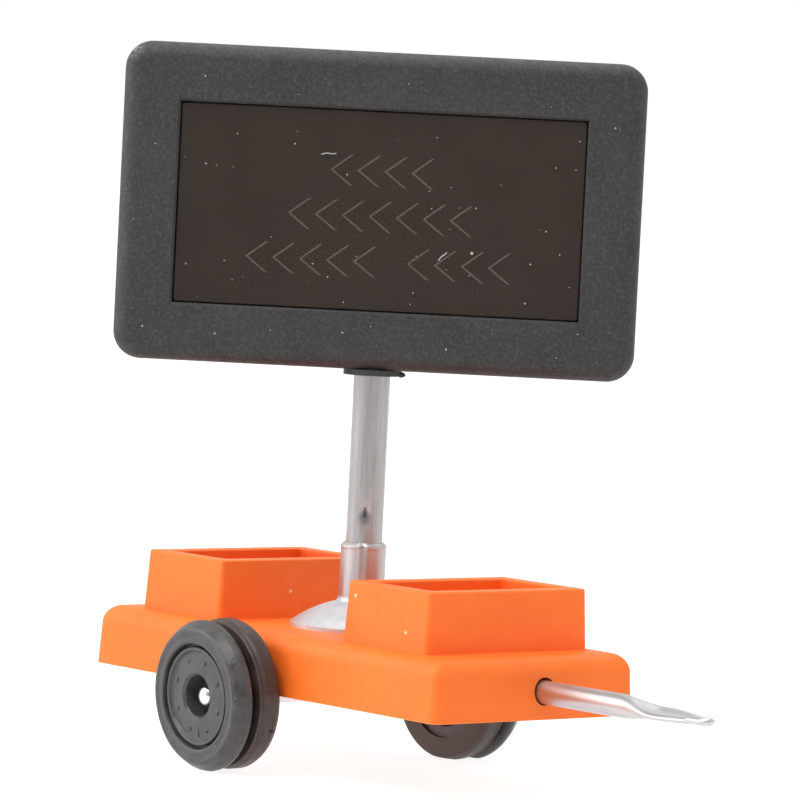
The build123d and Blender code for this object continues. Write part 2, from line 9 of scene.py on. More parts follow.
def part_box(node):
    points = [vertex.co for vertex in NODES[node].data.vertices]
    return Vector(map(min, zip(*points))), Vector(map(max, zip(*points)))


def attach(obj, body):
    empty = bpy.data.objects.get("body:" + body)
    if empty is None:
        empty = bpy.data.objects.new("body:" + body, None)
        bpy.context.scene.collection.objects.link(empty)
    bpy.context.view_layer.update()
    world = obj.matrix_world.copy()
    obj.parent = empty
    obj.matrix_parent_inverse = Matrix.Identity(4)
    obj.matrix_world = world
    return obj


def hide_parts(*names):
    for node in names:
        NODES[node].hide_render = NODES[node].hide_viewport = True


# Looks for a miniature message-board trailer. Blender works in metres; the numbers
# below that are lengths are in millimetres and are turned into metres by MM.
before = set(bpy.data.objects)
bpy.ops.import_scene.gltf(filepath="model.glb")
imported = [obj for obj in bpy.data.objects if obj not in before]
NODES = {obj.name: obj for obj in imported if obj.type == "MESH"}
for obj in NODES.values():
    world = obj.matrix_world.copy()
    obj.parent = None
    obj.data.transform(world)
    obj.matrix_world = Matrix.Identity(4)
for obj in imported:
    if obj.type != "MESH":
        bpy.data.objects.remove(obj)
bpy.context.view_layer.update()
MM = 0.001


def centre(node):
    """Middle of a CAD node's box, in metres."""
    low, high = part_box(node)
    return (low + high) / 2


# ---------------------------------------------------------------- places taken from the frame
MAST_AXIS = centre("mast_tube").xy
DECK_TOP_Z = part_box("deck")[1].z
MAST_R = (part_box("mast_tube")[1].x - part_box("mast_tube")[0].x) / 2 / MM
SLEEVE_R = (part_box("mast_sleeve")[1].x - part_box("mast_sleeve")[0].x) / 2 / MM
TYRE_R = (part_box("outer_tyre_right")[1].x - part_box("outer_tyre_right")[0].x) / 2 / MM
TUBE_WALL = 0.3556
TRAY_DRAFT = math.radians(3.5)

# the sign's own plane: x to the right along its face, y up, z out of its face
SIGN_YAW = math.radians(49.0)
SIGN_FRONT = 3.0
SIGN_FRAME = Matrix(
    (
        (math.cos(SIGN_YAW), 0, math.sin(SIGN_YAW), MAST_AXIS.x),
        (math.sin(SIGN_YAW), 0, -math.cos(SIGN_YAW), MAST_AXIS.y),
        (0, 1, 0, centre("back_cover").z),
        (0, 0, 0, 1),
    )
) @ Matrix.Scale(MM, 4)


# ================================================================ materials
class Surface:
    """A Principled material, with short calls for the nodes that vary it. Lengths are in millimetres."""

    def __init__(self, name, **sockets):
        self.material = bpy.data.materials.new(name)
        self.material.use_nodes = True
        self.nodes = self.material.node_tree.nodes
        self.links = self.material.node_tree.links
        self.shader = self.nodes["Principled BSDF"]
        for socket, value in sockets.items():
            self.feed(self.shader.inputs[socket.replace("_", " ")], value)
        self.place = self.nodes.new("ShaderNodeTexCoord").outputs["Object"]

    def feed(self, socket, value):
        if isinstance(value, bpy.types.NodeSocket):
            self.links.new(value, socket)
        else:
            socket.default_value = value

    def add(self, kind, inputs, **settings):
        node = self.nodes.new(kind)
        for key, value in settings.items():
            setattr(node, key, value)
        for key, value in inputs.items():
            self.feed(node.inputs[key], value)
        return node

    def stretched(self, x, y, z):
        """Coordinates squeezed along each axis, for streaks."""
        return self.add("ShaderNodeMapping", {"Vector": self.place, "Scale": (x, y, z)}).outputs["Vector"]

    def noise(self, size, detail=3.0, roughness=0.55, place=None):
        inputs = {"Vector": place or self.place, "Scale": 1 / (size * MM), "Detail": detail}
        inputs["Roughness"] = roughness
        return self.add("ShaderNodeTexNoise", inputs).outputs["Fac"]

    def remap(self, value, from_low, from_high, to_low=0.0, to_high=1.0):
        inputs = {"Value": value, "From Min": from_low, "From Max": from_high}
        inputs.update({"To Min": to_low, "To Max": to_high})
        return self.add("ShaderNodeMapRange", inputs).outputs["Result"]

    def math(self, operation, a, b):
        return self.add("ShaderNodeMath", {0: a, 1: b}, operation=operation).outputs[0]

    def blend(self, factor, a, b, mode="MIX"):
        node = self.add("ShaderNodeMix", {0: factor, 6: a, 7: b}, data_type="RGBA", blend_type=mode)
        return node.outputs[2]

    def specks(self, spacing, size, share):
        """Small round spots: one cell in 1/share holds one."""
        cells = self.add("ShaderNodeTexVoronoi", {"Vector": self.place, "Scale": 1 / (spacing * MM)})
        reach = size / spacing / 2
        spot = self.remap(cells.outputs["Distance"], reach, reach * 0.4)
        chosen = self.add("ShaderNodeSeparateColor", {"Color": cells.outputs["Color"]})
        strength = self.remap(chosen.outputs["Red"], 1 - share, 1.0)
        return self.math("MULTIPLY", spot, strength)

    def near(self, point, radius, soft=0.5):
        """One at a point given in metres, falling to zero at the radius."""
        gap = self.add("ShaderNodeVectorMath", {0: self.place, 1: point}, operation="DISTANCE")
        return self.remap(gap.outputs["Value"], radius * MM, radius * MM * (1 - soft))

    def painted_edge_highlight(self, radius):
        """Mask for a painted highlight: one along sharp edges, zero on the faces between them."""
        bevel = self.add("ShaderNodeBevel", {"Radius": radius * MM}, samples=4)
        flat = self.nodes.new("ShaderNodeNewGeometry").outputs["Normal"]
        inputs = {0: bevel.outputs["Normal"], 1: flat}
        lean = self.add("ShaderNodeVectorMath", inputs, operation="DOT_PRODUCT")
        return self.remap(lean.outputs["Value"], 0.995, 0.85)

    def colour(self, value):
        self.feed(self.shader.inputs["Base Color"], value)

    def roughness(self, value):
        self.feed(self.shader.inputs["Roughness"], value)

    def bump(self, height, depth, strength=1.0):
        inputs = {"Height": height, "Distance": depth * MM, "Strength": strength}
        node = self.add("ShaderNodeBump", inputs)
        self.feed(self.shader.inputs["Normal"], node.outputs["Normal"])


def rgb(red, green, blue):
    return (red, green, blue, 1.0)


def orange_plastic():
    s = Surface("orange_plastic_look", IOR=1.46, Specular_IOR_Level=0.35)
    broad = s.remap(s.noise(6.0, 2.0), 0.3, 0.7)
    fine = s.remap(s.noise(0.9, 4.0), 0.35, 0.65)
    tone = s.blend(broad, rgb(0.940, 0.172, 0.017), rgb(0.915, 0.150, 0.014))
    tone = s.blend(s.math("MULTIPLY", fine, 0.35), tone, rgb(0.95, 0.200, 0.026))
    dust = s.specks(1.9, 0.22, 0.35)
    tone = s.blend(s.math("MULTIPLY", dust, 0.35), tone, rgb(1.0, 0.52, 0.30))
    # pale orange along sharp edges is a painted highlight
    tone = s.blend(s.math("MULTIPLY", s.painted_edge_highlight(0.14), 0.55), tone, rgb(1.0, 0.43, 0.15))
    for point in NICKS:
        tone = s.blend(s.near(point, 0.22, 0.8), tone, rgb(1.0, 0.66, 0.45))
    s.colour(tone)
    s.roughness(s.remap(s.noise(1.4, 3.0), 0.3, 0.7, 0.44, 0.58))
    s.bump(s.noise(0.35, 3.0), 0.010)
    return s.material


def casing_plastic():
    s = Surface("casing_plastic_look", IOR=1.46)
    broad = s.remap(s.noise(5.0, 3.0), 0.3, 0.7)
    tone = s.blend(broad, rgb(0.021, 0.021, 0.021), rgb(0.031, 0.030, 0.030))
    grain = s.remap(s.noise(0.28, 2.0), 0.45, 0.75)
    tone = s.blend(s.math("MULTIPLY", grain, 0.6), tone, rgb(0.070, 0.069, 0.070))
    tone = s.blend(s.specks(2.4, 0.26, 0.35), tone, rgb(0.30, 0.29, 0.28))
    tone = s.blend(s.specks(0.8, 0.16, 0.25), tone, rgb(0.15, 0.15, 0.15))
    worn_corner = SIGN_FRAME @ Vector((-21.9, 13.1, 2.2))
    wear = s.math("MULTIPLY", s.near(worn_corner, 1.2, 0.9), s.remap(s.noise(0.35, 4.0), 0.42, 0.66))
    s.colour(s.blend(wear, tone, rgb(0.24, 0.23, 0.22)))
    s.roughness(s.remap(s.noise(0.6, 3.0), 0.3, 0.7, 0.50, 0.66))
    s.bump(s.noise(0.22, 2.0), 0.012)
    return s.material


def smoked_pane():
    s = Surface("smoked_pane_look", IOR=1.45, Alpha=0.74)
    cloud = s.remap(s.noise(7.0, 3.0), 0.3, 0.7)
    tone = s.blend(cloud, rgb(0.026, 0.015, 0.009), rgb(0.032, 0.020, 0.013))
    tone = s.blend(s.specks(2.6, 0.22, 0.35), tone, rgb(0.15, 0.13, 0.11))
    s.colour(s.blend(s.specks(1.0, 0.14, 0.16), tone, rgb(0.07, 0.06, 0.05)))
    s.roughness(s.remap(cloud, 0.0, 1.0, 0.42, 0.50))
    return s.material


def mask_film():
    s = Surface("mask_film_look", Roughness=0.9, Specular_IOR_Level=0.0)
    weave = s.remap(s.noise(1.2, 2.0), 0.3, 0.7)
    s.colour(s.blend(weave, rgb(0.014, 0.009, 0.006), rgb(0.018, 0.012, 0.009)))
    return s.material


def panel_phosphor():
    # the emission is a painted glow: the display is not lit
    s = Surface("panel_phosphor_painted_glow_look", Roughness=0.8, Emission_Strength=1.5)
    patch = s.remap(s.noise(0.45, 3.0), 0.35, 0.7)
    tone = s.blend(patch, rgb(0.66, 0.59, 0.53), rgb(0.90, 0.82, 0.75))
    s.colour(tone)
    s.feed(s.shader.inputs["Emission Color"], tone)
    s.bump(patch, 0.004)
    return s.material


def streaked_metal(name, pale, dark, smooth, rough, along, shade_in_dents=()):
    """Drawn tube: long fine streaks along one axis, with painted shade darkening the dents at given points.
    """
    s = Surface(name, Metallic=1.0)
    squeeze = [0.06 if axis == along else 1.0 for axis in range(3)]
    streak = s.remap(s.noise(0.30, 4.0, 0.6, s.stretched(*squeeze)), 0.35, 0.65)
    blotch = s.remap(s.noise(2.4, 3.0), 0.35, 0.70)
    tone = s.blend(streak, pale, dark)
    tone = s.blend(s.math("MULTIPLY", blotch, 0.25), tone, dark)
    # painted shade: near-black spots where the tube is dented
    for point, radius in shade_in_dents:
        tone = s.blend(s.near(point, radius, 0.7), tone, rgb(0.02, 0.017, 0.016))
    s.colour(tone)
    s.roughness(s.remap(streak, 0.0, 1.0, smooth, rough))
    s.bump(streak, 0.003, 0.6)
    return s.material


def turned_metal(name, pale, dark, smooth, rough):
    """Cast or turned metal without a direction: soft clouds and fine pits."""
    s = Surface(name, Metallic=1.0)
    cloud = s.remap(s.noise(1.2, 4.0), 0.35, 0.68)
    pits = s.specks(0.7, 0.16, 0.35)
    tone = s.blend(cloud, pale, dark)
    s.colour(s.blend(s.math("MULTIPLY", pits, 0.6), tone, rgb(0.22, 0.20, 0.19)))
    s.roughness(s.remap(cloud, 0.0, 1.0, smooth, rough))
    s.bump(s.noise(0.3, 3.0), 0.004)
    return s.material


def moulded_black(name, dark, pale, smooth, rough, tint):
    """Soft black moulding: greyish rub marks, fine pits and a few pale dust grains."""
    s = Surface(name, IOR=1.5)
    rub = s.remap(s.noise(1.6, 4.0, 0.65), 0.38, 0.68)
    tone = s.blend(rub, dark, pale)
    tone = s.blend(s.math("MULTIPLY", s.remap(s.noise(4.0, 2.0), 0.4, 0.7), 0.5), tone, tint)
    tone = s.blend(s.specks(0.9, 0.20, 0.25), tone, rgb(0.24, 0.23, 0.22))
    s.colour(tone)
    s.roughness(s.remap(rub, 0.0, 1.0, smooth, rough))
    s.bump(s.noise(0.45, 4.0), 0.045)
    return s.material


def mottled(name, low, high, size, rough, depth):
    """Plain part with a fine two-tone mottle."""
    s = Surface(name, Roughness=rough)
    patch = s.remap(s.noise(size, 3.0), 0.35, 0.65)
    s.colour(s.blend(patch, low, high))
    s.bump(patch, depth)
    return s.material


def dust_grain():
    s = Surface("dust_look", Roughness=0.9)
    s.colour(s.blend(s.noise(0.2, 2.0), rgb(0.34, 0.32, 0.30), rgb(0.60, 0.58, 0.55)))
    return s.material


def on_face(node, from_front, from_right, below_top):
    """Point on a tray's drafted right or front face, in millimetres from its foot's edges and its top."""
    low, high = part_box(node)
    z = high.z - below_top * MM
    lean = (z - DECK_TOP_Z) * math.tan(TRAY_DRAFT)
    x = high.x - max(lean, from_front * MM)
    return Vector((x, low.y + max(lean, from_right * MM), z))


# the dent in the mast and the one in the sleeve's top edge face the same way as the sign
FACING = Vector((math.sin(SIGN_YAW), -math.cos(SIGN_YAW), 0))
DING = MAST_AXIS.to_3d() + FACING * MAST_R * MM + Vector((0, 0, DECK_TOP_Z + 10.2 * MM))
DING_HALF = Vector((0, 0, 0.28 * MM))
NOTCH = MAST_AXIS.to_3d() + FACING * SLEEVE_R * MM + Vector((0, 0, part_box("mast_sleeve")[1].z - 0.3 * MM))

# pale nicks in the orange moulding
NICKS = [
    on_face("front_tray", 9.9, 0, 1.2),
    on_face("front_tray", 3.0, 0, 3.6),
    on_face("rear_tray", 0, 7.9, 2.8),
]

LOOKS = {
    "orange_plastic": orange_plastic(),
    "casing_plastic": casing_plastic(),
    "smoked_pane": smoked_pane(),
    "mask_film": mask_film(),
    "panel_phosphor": panel_phosphor(),
    "mast_metal": streaked_metal(
        "mast_metal_look", rgb(0.43, 0.41, 0.405), rgb(0.36, 0.335, 0.33), 0.26, 0.36, 2,
        [(DING, 0.34), (DING + DING_HALF, 0.24), (DING - DING_HALF, 0.24)],
    ),
    "sleeve_metal": streaked_metal(
        "sleeve_metal_look", rgb(0.57, 0.54, 0.54), rgb(0.50, 0.465, 0.46), 0.40, 0.50, 2, [(NOTCH, 0.2)]
    ),
    "flange_metal": turned_metal(
        "flange_metal_look", rgb(0.66, 0.66, 0.68), rgb(0.56, 0.56, 0.58), 0.48, 0.60
    ),
    "drawbar_metal": streaked_metal(
        "drawbar_metal_look", rgb(0.68, 0.67, 0.68), rgb(0.54, 0.53, 0.54), 0.34, 0.44, 0
    ),
    "axle_brass": turned_metal(
        "axle_brass_look", rgb(0.76, 0.60, 0.33), rgb(0.60, 0.45, 0.24), 0.30, 0.42
    ),
    "axle_steel": turned_metal(
        "axle_steel_look", rgb(0.86, 0.85, 0.84), rgb(0.70, 0.69, 0.68), 0.16, 0.28
    ),
    "hub_plastic": moulded_black(
        "hub_plastic_look", rgb(0.040, 0.039, 0.038), rgb(0.082, 0.079, 0.077), 0.32, 0.50,
        rgb(0.056, 0.053, 0.052),
    ),
    "tyre_rubber": moulded_black(
        "tyre_rubber_look", rgb(0.034, 0.033, 0.032), rgb(0.074, 0.071, 0.069), 0.32, 0.50,
        rgb(0.052, 0.047, 0.044),
    ),
    # darker, reddish copy of the tyre rubber: painted shade under the deck and painted orange bounce light
    "tyre_inner": moulded_black(
        "tyre_inner_painted_shade_look", rgb(0.030, 0.020, 0.017), rgb(0.062, 0.044, 0.038), 0.38, 0.56,
        rgb(0.066, 0.034, 0.024),
    ),
    "bush_plastic": mottled(
        "bush_plastic_look", rgb(0.035, 0.034, 0.034), rgb(0.06, 0.058, 0.057), 0.5, 0.5, 0.006
    ),
    "screw_steel": turned_metal(
        "screw_steel_look", rgb(0.60, 0.60, 0.60), rgb(0.42, 0.42, 0.43), 0.25, 0.40
    ),
    "pad_foam": mottled("pad_foam_look", rgb(0.10, 0.10, 0.10), rgb(0.17, 0.17, 0.17), 0.3, 0.9, 0.05),
    "board_green": mottled(
        "board_green_look", rgb(0.02, 0.13, 0.05), rgb(0.03, 0.18, 0.07), 1.5, 0.45, 0.004
    ),
    "chip_black": mottled(
        "chip_black_look", rgb(0.02, 0.02, 0.02), rgb(0.04, 0.04, 0.04), 0.4, 0.5, 0.004
    ),
    "lead_insulation": mottled(
        "lead_insulation_look", rgb(0.45, 0.03, 0.02), rgb(0.58, 0.05, 0.03), 0.8, 0.45, 0.004
    ),
    "dust": dust_grain(),
}

# CAD nodes whose shape is right keep it and take a better material
for node in NODES.values():
    for place in node.material_slots:
        if place.material.name in LOOKS:
            place.material = LOOKS[place.material.name]
NODES["mast_flange"].material_slots[0].material = LOOKS["flange_metal"]


# ================================================================ shape helpers
def rounded(corners, steps=6):
    """Closed outline in which each (x, y, radius) corner becomes an arc."""
    points = []
    for index, (x, y, radius) in enumerate(corners):
        corner = Vector((x, y))
        if radius == 0:
            points.append(corner)
            continue
        back = (Vector(corners[index - 1][:2]) - corner).normalized()
        ahead = (Vector(corners[(index + 1) % len(corners)][:2]) - corner).normalized()
        half = back.angle(ahead) / 2
        middle = corner + (back + ahead).normalized() * radius / math.sin(half)
        reach = radius / math.tan(half)
        first = corner + back * reach - middle
        last = corner + ahead * reach - middle
        turn = first.angle(last)
        for step in range(steps + 1):
            t = step / steps
            swing = first * math.sin((1 - t) * turn) + last * math.sin(t * turn)
            points.append(middle + swing / math.sin(turn))
    return points


def lathe(bm, outline, place, segments=128):
    """Turn a closed outline of (radius, height) points about the z axis of place."""
    rings = []
    for step in range(segments):
        turn = 2 * math.pi * step / segments
        ring = [Vector((r * math.cos(turn), r * math.sin(turn), h)) for r, h in outline]
        rings.append([bm.verts.new(place @ point) for point in ring])
    count = len(outline)
    for step in range(segments):
        here, there = rings[step], rings[(step + 1) % segments]
        for k in range(count):
            bm.faces.new((here[k], there[k], there[(k + 1) % count], here[(k + 1) % count]))


def finish_piece(name, bm, look, body, replaces=(), sharp=38):
    """Turn a bmesh into an object that rides on a body and stands for CAD nodes."""
    bmesh.ops.remove_doubles(bm, verts=bm.verts, dist=0.00002 * MM)
    bmesh.ops.recalc_face_normals(bm, faces=bm.faces)
    mesh = bpy.data.meshes.new(name)
    bm.to_mesh(mesh)
    bm.free()
    mesh.shade_smooth()
    mesh.set_sharp_from_angle(angle=math.radians(sharp))
    mesh.materials.append(LOOKS[look])
    piece = bpy.data.objects.new(name, mesh)
    bpy.context.scene.collection.objects.link(piece)
    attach(piece, body)
    if replaces:
        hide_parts(*replaces)
    return piece


def blob(bm, place, size, seed, lumps=0.25):
    """Small irregular lump, sized along the axes of place."""
    draw = random.Random(seed)
    made = bmesh.ops.create_icosphere(bm, subdivisions=2, radius=1.0, matrix=Matrix.Identity(4))
    for vert in made["verts"]:
        stretch = 1 + lumps * (draw.random() - 0.5)
        local = Vector((vert.co.x * size[0], vert.co.y * size[1], vert.co.z * size[2])) * stretch
        vert.co = place @ local


# ================================================================ wheels
WHEEL_WIDTH = 4.45
TYRE_WIDTH = 2.1
SEAT_R = 4.5
# the shown tyres bulge a little past the moulded size
BIG_R = TYRE_R + 0.10
STUDS = 8
STUD_CIRCLE_R = 3.1
STUD_START = 25


# how each wheel sits crooked on its axle: toe and camber in degrees, then its shift along its own y,
# which is up on the right wheel and down on the left one, and its shift outwards
CROOKED = {"right": (2.0, 3.0, 0.10, 0.30), "left": (0.0, 0.0, 0.10, 0.10)}


def wheel_place(side):
    """Frame of one wheel: origin on the axle at the outer face, z pointing outwards."""
    low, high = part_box(f"outer_tyre_{side}")
    sign = -1 if side == "right" else 1
    face_y = low.y if side == "right" else high.y
    axes = Matrix(((1, 0, 0, 0), (0, 0, sign, 0), (0, -sign, 0, 0), (0, 0, 0, 1)))
    middle = Vector(((low.x + high.x) / 2, face_y, (low.z + high.z) / 2))
    toe, camber, shift, out = CROOKED[side]
    lean = Matrix.Rotation(math.radians(camber), 4, "X") @ Matrix.Rotation(math.radians(-toe), 4, "Y")
    pivot = Vector((0, 0, -WHEEL_WIDTH / 2))
    lean = Matrix.Translation(pivot + Vector((0, shift, out))) @ lean @ Matrix.Translation(-pivot)
    return Matrix.Translation(middle) @ axes @ Matrix.Scale(MM, 4) @ lean


# tyre sections as (radius, height along the axle, corner rounding), from the face inwards
OUTER_TYRE = [
    (SEAT_R, -0.34, 0.0),
    (SEAT_R + 0.06, -0.06, 0.05),
    (SEAT_R + 0.24, 0.0, 0.08),
    (5.16, -0.07, 0.18),
    (5.62, 0.0, 0.14),
    (5.88, -0.14, 0.12),
    (6.34, -0.80, 0.30),
    (BIG_R, -1.16, 0.14),
    (BIG_R - 0.04, -1.50, 0.08),
    (5.80, -1.80, 0.12),
    (5.60, -TYRE_WIDTH, 0.05),
    (SEAT_R, -TYRE_WIDTH, 0.0),
]
INNER_TYRE = [
    (SEAT_R, -2.35, 0.0),
    (5.65, -2.35, 0.05),
    (6.28, -2.42, 0.07),
    (6.38, -2.62, 0.08),
    (6.28, -2.80, 0.10),
    (BIG_R - 0.04, -3.10, 0.20),
    (BIG_R, -4.05, 0.30),
    (6.26, -WHEEL_WIDTH - 0.1, 0.16),
    (SEAT_R, -WHEEL_WIDTH - 0.1, 0.0),
]


def hub_outline():
    """Hub section: wide blind hole, dished disc with a lip, rim seat, hollow back and spacer boss."""
    bore, hole, floor = 0.82, 1.8, 2.4
    back = WHEEL_WIDTH - 0.2
    return rounded(
        [
            (bore, -floor, 0.0),
            (hole, -floor, 0.12),
            (hole, -0.50, 0.06),
            (hole + 0.22, -0.28, 0.06),
            (2.60, -0.34, 0.30),
            (3.80, -0.44, 0.10),
            (3.96, -0.20, 0.06),
            (4.20, -0.20, 0.07),
            (4.28, -0.75, 0.05),
            (SEAT_R, -0.75, 0.0),
            (SEAT_R, -back, 0.0),
            (3.50, -back, 0.0),
            (3.50, -2.85, 0.15),
            (2.20, -2.85, 0.15),
            (2.20, -back, 0.0),
            (1.90, -back, 0.0),
            (1.90, -back - 0.4, 0.05),
            (bore, -back - 0.4, 0.0),
        ]
    )


# flash left by moulding: (angle in degrees, radius, height along the axle, size)
FLASH = {
    ("right", "inner"): [
        (-24, 6.42, -3.95, (0.26, 0.20, 0.24)), (-26, 6.38, -3.10, (0.14, 0.16, 0.14)),
        (-3, 6.28, -2.60, (0.14, 0.18, 0.13)), (-62, 6.30, -2.70, (0.12, 0.40, 0.14)),
    ],
    ("right", "outer"): [(-51, 6.05, -1.75, (0.26, 0.24, 0.20))],
    ("left", "inner"): [(150, 6.36, -4.00, (0.18, 0.24, 0.16))],
    ("left", "outer"): [(205, 6.10, -1.72, (0.20, 0.20, 0.15))],
}

for side in ("right", "left"):
    place = wheel_place(side)
    for which, section in (("outer", OUTER_TYRE), ("inner", INNER_TYRE)):
        bm = bmesh.new()
        lathe(bm, rounded(section), place)
        for number, (angle, radius, height, size) in enumerate(FLASH[side, which]):
            turned = place @ Matrix.Rotation(math.radians(angle), 4, "Z")
            blob(bm, turned @ Matrix.Translation((radius, 0, height)), size, 11 + number, 0.5)
        look = "tyre_rubber" if which == "outer" else "tyre_inner"
        name = f"{which}_tyre_{side}"
        finish_piece(f"{name}_detail", bm, look, "wheelset", [name])

    bm = bmesh.new()
    lathe(bm, hub_outline(), place)
    seam = place @ Matrix.Rotation(math.radians(-86), 4, "Z")
    for number in range(STUDS):
        turned = place @ Matrix.Rotation(math.radians(STUD_START + number * 360 / STUDS), 4, "Z")
        blob(bm, turned @ Matrix.Translation((STUD_CIRCLE_R, 0, -0.37)), (0.20, 0.22, 0.11), 50 + number, 0.3)
    # radial seam below the hole
    blob(bm, seam @ Matrix.Translation((2.75, 0, -0.38)), (0.80, 0.045, 0.07), 5, 0.1)
    name = f"wheel_hub_{side}"
    finish_piece(f"{name}_detail", bm, "hub_plastic", "wheelset", [name])

# ================================================================ axle with domed ends
axle_low, axle_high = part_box("axle")
axle_r = (axle_high.x - axle_low.x) / 2 / MM
axle_half = (axle_high.y - axle_low.y) / 2 / MM
SLIM = 0.86
DOME_HEIGHT = 0.42
DOME_STEPS = 8
bm = bmesh.new()
dome = []
for k in range(DOME_STEPS + 1):
    a = math.pi / 2 / DOME_STEPS * k
    dome.append((SLIM * axle_r * math.cos(a), axle_half - DOME_HEIGHT + DOME_HEIGHT * math.sin(a)))
outline = [Vector(p) for p in dome] + [Vector((r, -h)) for r, h in reversed(dome)]
axle_place = Matrix.Translation((axle_low + axle_high) / 2) @ Matrix.Rotation(math.pi / 2, 4, "X")
axle_place = axle_place @ Matrix.Scale(MM, 4)
lathe(bm, outline, axle_place, 48)
finish_piece("axle_domed", bm, "axle_steel", "wheelset", ["axle"])

# the axle turns in a short brass bush in each lug
tube_low, tube_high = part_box("axle_tube")
tube_r = (tube_high.x - tube_low.x) / 2 / MM
tube_half = (tube_high.y - tube_low.y) / 2 / MM
BUSH_LENGTH = 1.95
BUSH_BORE_R = axle_r + 0.04
bm = bmesh.new()
for top in (tube_half, -tube_half + BUSH_LENGTH):
    foot = top - BUSH_LENGTH
    section = [(tube_r, top), (tube_r, foot), (BUSH_BORE_R, foot), (BUSH_BORE_R, top)]
    lathe(bm, [Vector(p) for p in section], axle_place, 64)
finish_piece("axle_bushes", bm, "axle_brass", "trailer", ["axle_tube"])


# ================================================================ mast tubes
def spread(low, high, step, dense=None):
    """Levels from low to high, closer together in the dense stretch."""
    levels = [low]
    while levels[-1] < high - 1e-6:
        near_dense = dense and dense[0] - step < levels[-1] < dense[1]
        levels.append(min(high, levels[-1] + (step / 8 if near_dense else step)))
    return levels


def dent(bm, point, radius, depth):
    """Press vertices near a point towards the mast axis. Point is in metres, sizes in millimetres."""
    axis = Vector((MAST_AXIS.x, MAST_AXIS.y, point.z))
    inwards = (axis - point).normalized()
    for vert in bm.verts:
        gap = vert.co - point
        gap.z *= 0.6
        fall = math.exp(-((gap.length / (radius * MM)) ** 2))
        if fall > 0.01:
            vert.co += inwards * depth * MM * fall


mast_place = Matrix.Translation((MAST_AXIS.x, MAST_AXIS.y, 0)) @ Matrix.Scale(MM, 4)
low, high = (corner.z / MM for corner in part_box("mast_tube"))
ding_z = DING.z / MM
bm = bmesh.new()
levels = spread(low, high, 1.2, (ding_z - 1.0, ding_z + 1.0))
inner = MAST_R - TUBE_WALL
outline = [Vector((MAST_R, z)) for z in levels] + [Vector((inner, high)), Vector((inner, low))]
lathe(bm, outline, mast_place, 112)
dent(bm, DING, 0.40, 0.14)
finish_piece("mast_tube_detail", bm, "mast_metal", "mast", ["mast_tube"])

low, high = (corner.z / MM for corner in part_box("mast_sleeve"))
bm = bmesh.new()
inner = SLEEVE_R - TUBE_WALL
outline = rounded(
    [
        (inner, low, 0.0),
        (SLEEVE_R, low, 0.05),
        (SLEEVE_R, high - 0.62, 0.10),
        (SLEEVE_R + 0.03, high - 0.52, 0.06),
        (SLEEVE_R + 0.02, high - 0.30, 0.10),
        (inner + 0.06, high, 0.05),
        (inner, high - 0.05, 0.02),
    ]
)
lathe(bm, outline, mast_place, 112)
dent(bm, NOTCH, 0.22, 0.14)
finish_piece("mast_sleeve_detail", bm, "sleeve_metal", "trailer", ["mast_sleeve"])

# ================================================================ drawbar, squashed flat at its far end
bar_low, bar_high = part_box("drawbar")
BAR_START = bar_low.x / MM
BAR_TIP = bar_high.x / MM
BAR_Y = (bar_low.y + bar_high.y) / 2 / MM
BAR_Z = centre("drawbar").z / MM
BAR_R = 1.0
ROUND_END = BAR_TIP - 10.4
FLAT_START = BAR_TIP - 5.6
FLAT_HALF_WIDTH = 1.42
FLAT_HALF_HEIGHT = 0.46
FLAT_RAISE = -0.05
TIP_HALF_WIDTH = 0.84
TAB_LENGTH = 2.1
TROUGH = 0.36
TWIST = math.radians(11)
RING = 48


def ease(value, start, end):
    """Smooth step from 0 at start to 1 at end."""
    t = min(1.0, max(0.0, (value - start) / (end - start)))
    return t * t * (3 - 2 * t)


def bar_ring(x):
    """Section of the drawbar at a station: round, then pressed from below into a shallow channel."""
    flat = ease(x, ROUND_END, FLAT_START)
    taper = ease(x, FLAT_START, BAR_TIP - 0.8)
    tab = ease(x, BAR_TIP - TAB_LENGTH - 0.3, BAR_TIP - TAB_LENGTH + 0.3)
    half_width = BAR_R + (FLAT_HALF_WIDTH - BAR_R) * flat + (TIP_HALF_WIDTH - FLAT_HALF_WIDTH) * taper
    half_height = BAR_R + (FLAT_HALF_HEIGHT - BAR_R) * flat - 0.08 * taper
    nose = max(0.0, (x - BAR_TIP + 0.85) / 0.85)
    half_width *= math.sqrt(max(0.02, 1 - 0.80 * nose**2))
    half_height *= math.sqrt(max(0.10, 1 - 0.85 * nose**4))
    trough = TROUGH * flat * (1 - 0.35 * taper) * (1 - tab)
    tilt = TWIST * flat * (1 - 0.3 * taper) * (1 - 1.3 * tab)
    points = []
    for step in range(RING):
        turn = 2 * math.pi * step / RING
        y = half_width * math.cos(turn)
        z = half_height * math.sin(turn)
        if z > 0:
            z -= trough * math.exp(-((y / (0.58 * half_width)) ** 2))
        tilted = (y * math.cos(tilt) - z * math.sin(tilt), y * math.sin(tilt) + z * math.cos(tilt))
        points.append(Vector((x, BAR_Y + tilted[0], BAR_Z + FLAT_RAISE * (flat + taper) + tilted[1])) * MM)
    return points


bm = bmesh.new()
stations = [BAR_START, BAR_START + 0.1] + spread(BAR_START + 7.0, BAR_TIP, 0.9, (ROUND_END - 1, BAR_TIP))
rings = [[bm.verts.new(point) for point in bar_ring(x)] for x in stations]
for here, there in zip(rings, rings[1:]):
    for k in range(RING):
        bm.faces.new((here[k], there[k], there[(k + 1) % RING], here[(k + 1) % RING]))
bm.faces.new(reversed(rings[0]))
bm.faces.new(rings[-1])
finish_piece("drawbar_squashed", bm, "drawbar_metal", "trailer", ["drawbar"], 50)

